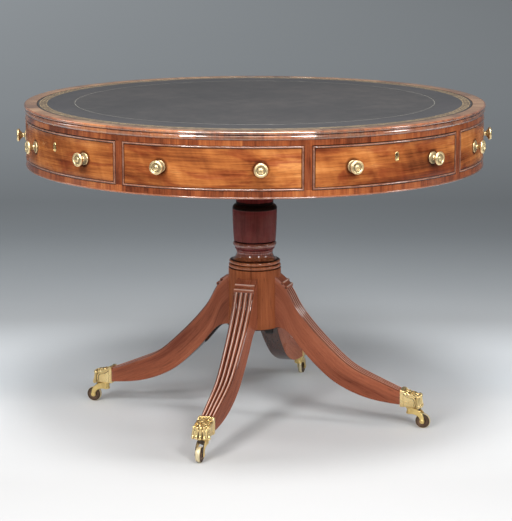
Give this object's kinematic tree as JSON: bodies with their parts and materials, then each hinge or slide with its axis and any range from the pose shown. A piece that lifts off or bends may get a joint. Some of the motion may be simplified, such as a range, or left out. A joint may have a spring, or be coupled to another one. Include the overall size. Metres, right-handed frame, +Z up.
{
  "type": "drum table",
  "caption": "Round library table: a revolving leather-topped drum with drawers and false fronts, on a turned column with reeded splayed legs, paw caps and casters.",
  "frame": {"origin": "on the floor, on the axis of the column", "axes": "+Z up; -Y out through the middle of the first drawer; +X to its right hand side"},
  "size_m": [1.0888, 1.0888, 0.755],
  "materials": {
    "mahogany": "french polished, worn on its edges",
    "rail_mahogany": "crossbanded veneer, french polished",
    "figured_mahogany": "figured veneer, french polished",
    "crossband_veneer": "crossbanded veneer, french polished",
    "pine_lining": "planed, unpolished and aged",
    "green_black_leather": "waxed hide with a tooled border",
    "brass": "polished, tarnished in its hollows",
    "caster_brass": "worn and tarnished",
    "iron": "black, as forged"
  },
  "bodies": {
    "base": {"column": "mahogany", "bearing_platform": "mahogany", "spindle": "iron", "spindle_nut": "iron", "iron_brace": "iron", "iron_screws": "iron", "leg_1": "mahogany", "leg_2": "mahogany", "leg_3": "mahogany", "leg_4": "mahogany", "paw_cap_1": "brass", "paw_cap_2": "brass", "paw_cap_3": "brass", "paw_cap_4": "brass"},
    "drum": {"top_board": "mahogany", "crossbanding": "crossband_veneer", "writing_leather": "green_black_leather", "top_rail": "rail_mahogany", "bottom_rail": "rail_mahogany", "bottom_bead": "mahogany", "drum_bottom": "pine_lining", "stiles": "rail_mahogany", "partitions": "pine_lining", "drawer_guides": "pine_lining", "hub_block": "pine_lining", "dummy_fronts": "figured_mahogany", "dummy_cock_beads": "mahogany", "dummy_knobs": "brass"},
    "drawer_1": {"drawer_1_front": "figured_mahogany", "drawer_1_box": "pine_lining", "drawer_1_cock_bead": "mahogany", "drawer_1_knobs": "brass", "drawer_1_lock": "brass"},
    "bolt_1": {"drawer_1_bolt": "brass"},
    "horn_1": {"caster_horn_1": "caster_brass"},
    "wheel_1": {"caster_wheel_1": "caster_brass"},
    "drawer_2": {"drawer_2_front": "figured_mahogany", "drawer_2_box": "pine_lining", "drawer_2_cock_bead": "mahogany", "drawer_2_knobs": "brass", "drawer_2_lock": "brass"},
    "bolt_2": {"drawer_2_bolt": "brass"},
    "horn_2": {"caster_horn_2": "caster_brass"},
    "wheel_2": {"caster_wheel_2": "caster_brass"},
    "drawer_3": {"drawer_3_front": "figured_mahogany", "drawer_3_box": "pine_lining", "drawer_3_cock_bead": "mahogany", "drawer_3_knobs": "brass", "drawer_3_lock": "brass"},
    "bolt_3": {"drawer_3_bolt": "brass"},
    "horn_3": {"caster_horn_3": "caster_brass"},
    "wheel_3": {"caster_wheel_3": "caster_brass"},
    "drawer_4": {"drawer_4_front": "figured_mahogany", "drawer_4_box": "pine_lining", "drawer_4_cock_bead": "mahogany", "drawer_4_knobs": "brass", "drawer_4_lock": "brass"},
    "bolt_4": {"drawer_4_bolt": "brass"},
    "horn_4": {"caster_horn_4": "caster_brass"},
    "wheel_4": {"caster_wheel_4": "caster_brass"}
  },
  "joints": [
    {"name": "drum_spin", "type": "hinge", "parent": "base", "child": "drum", "pos_m": [0, 0, 0.6142], "axis": [0, 0, 1], "continuous": true},
    {"name": "drawer_1_slide", "type": "slide", "parent": "drum", "child": "drawer_1", "axis": [0, -1, 0], "range_m": [0, 0.2]},
    {"name": "bolt_1_slide", "type": "slide", "parent": "drawer_1", "child": "bolt_1", "axis": [0, 0, 1], "range_m": [0, 0.007]},
    {"name": "caster_1_swivel", "type": "hinge", "parent": "base", "child": "horn_1", "pos_m": [0.23561, -0.29941, 0.0507], "axis": [0, 0, 1], "continuous": true},
    {"name": "caster_1_roll", "type": "hinge", "parent": "horn_1", "child": "wheel_1", "pos_m": [0.25478, -0.32377, 0.018], "axis": [0.7859, 0.6184, 0], "continuous": true},
    {"name": "drawer_2_slide", "type": "slide", "parent": "drum", "child": "drawer_2", "axis": [1, 0, 0], "range_m": [0, 0.2]},
    {"name": "bolt_2_slide", "type": "slide", "parent": "drawer_2", "child": "bolt_2", "axis": [0, 0, 1], "range_m": [0, 0.007]},
    {"name": "caster_2_swivel", "type": "hinge", "parent": "base", "child": "horn_2", "pos_m": [0.29941, 0.23561, 0.0507], "axis": [0, 0, 1], "continuous": true},
    {"name": "caster_2_roll", "type": "hinge", "parent": "horn_2", "child": "wheel_2", "pos_m": [0.32377, 0.25478, 0.018], "axis": [-0.6184, 0.7859, 0], "continuous": true},
    {"name": "drawer_3_slide", "type": "slide", "parent": "drum", "child": "drawer_3", "axis": [0, 1, 0], "range_m": [0, 0.2]},
    {"name": "bolt_3_slide", "type": "slide", "parent": "drawer_3", "child": "bolt_3", "axis": [0, 0, 1], "range_m": [0, 0.007]},
    {"name": "caster_3_swivel", "type": "hinge", "parent": "base", "child": "horn_3", "pos_m": [-0.23561, 0.29941, 0.0507], "axis": [0, 0, 1], "continuous": true},
    {"name": "caster_3_roll", "type": "hinge", "parent": "horn_3", "child": "wheel_3", "pos_m": [-0.25478, 0.32377, 0.018], "axis": [-0.7859, -0.6184, 0], "continuous": true},
    {"name": "drawer_4_slide", "type": "slide", "parent": "drum", "child": "drawer_4", "axis": [-1, 0, 0], "range_m": [0, 0.2]},
    {"name": "bolt_4_slide", "type": "slide", "parent": "drawer_4", "child": "bolt_4", "axis": [0, 0, 1], "range_m": [0, 0.007]},
    {"name": "caster_4_swivel", "type": "hinge", "parent": "base", "child": "horn_4", "pos_m": [-0.29941, -0.23561, 0.0507], "axis": [0, 0, 1], "continuous": true},
    {"name": "caster_4_roll", "type": "hinge", "parent": "horn_4", "child": "wheel_4", "pos_m": [-0.32377, -0.25478, 0.018], "axis": [0.6184, -0.7859, 0], "continuous": true}
  ]
}
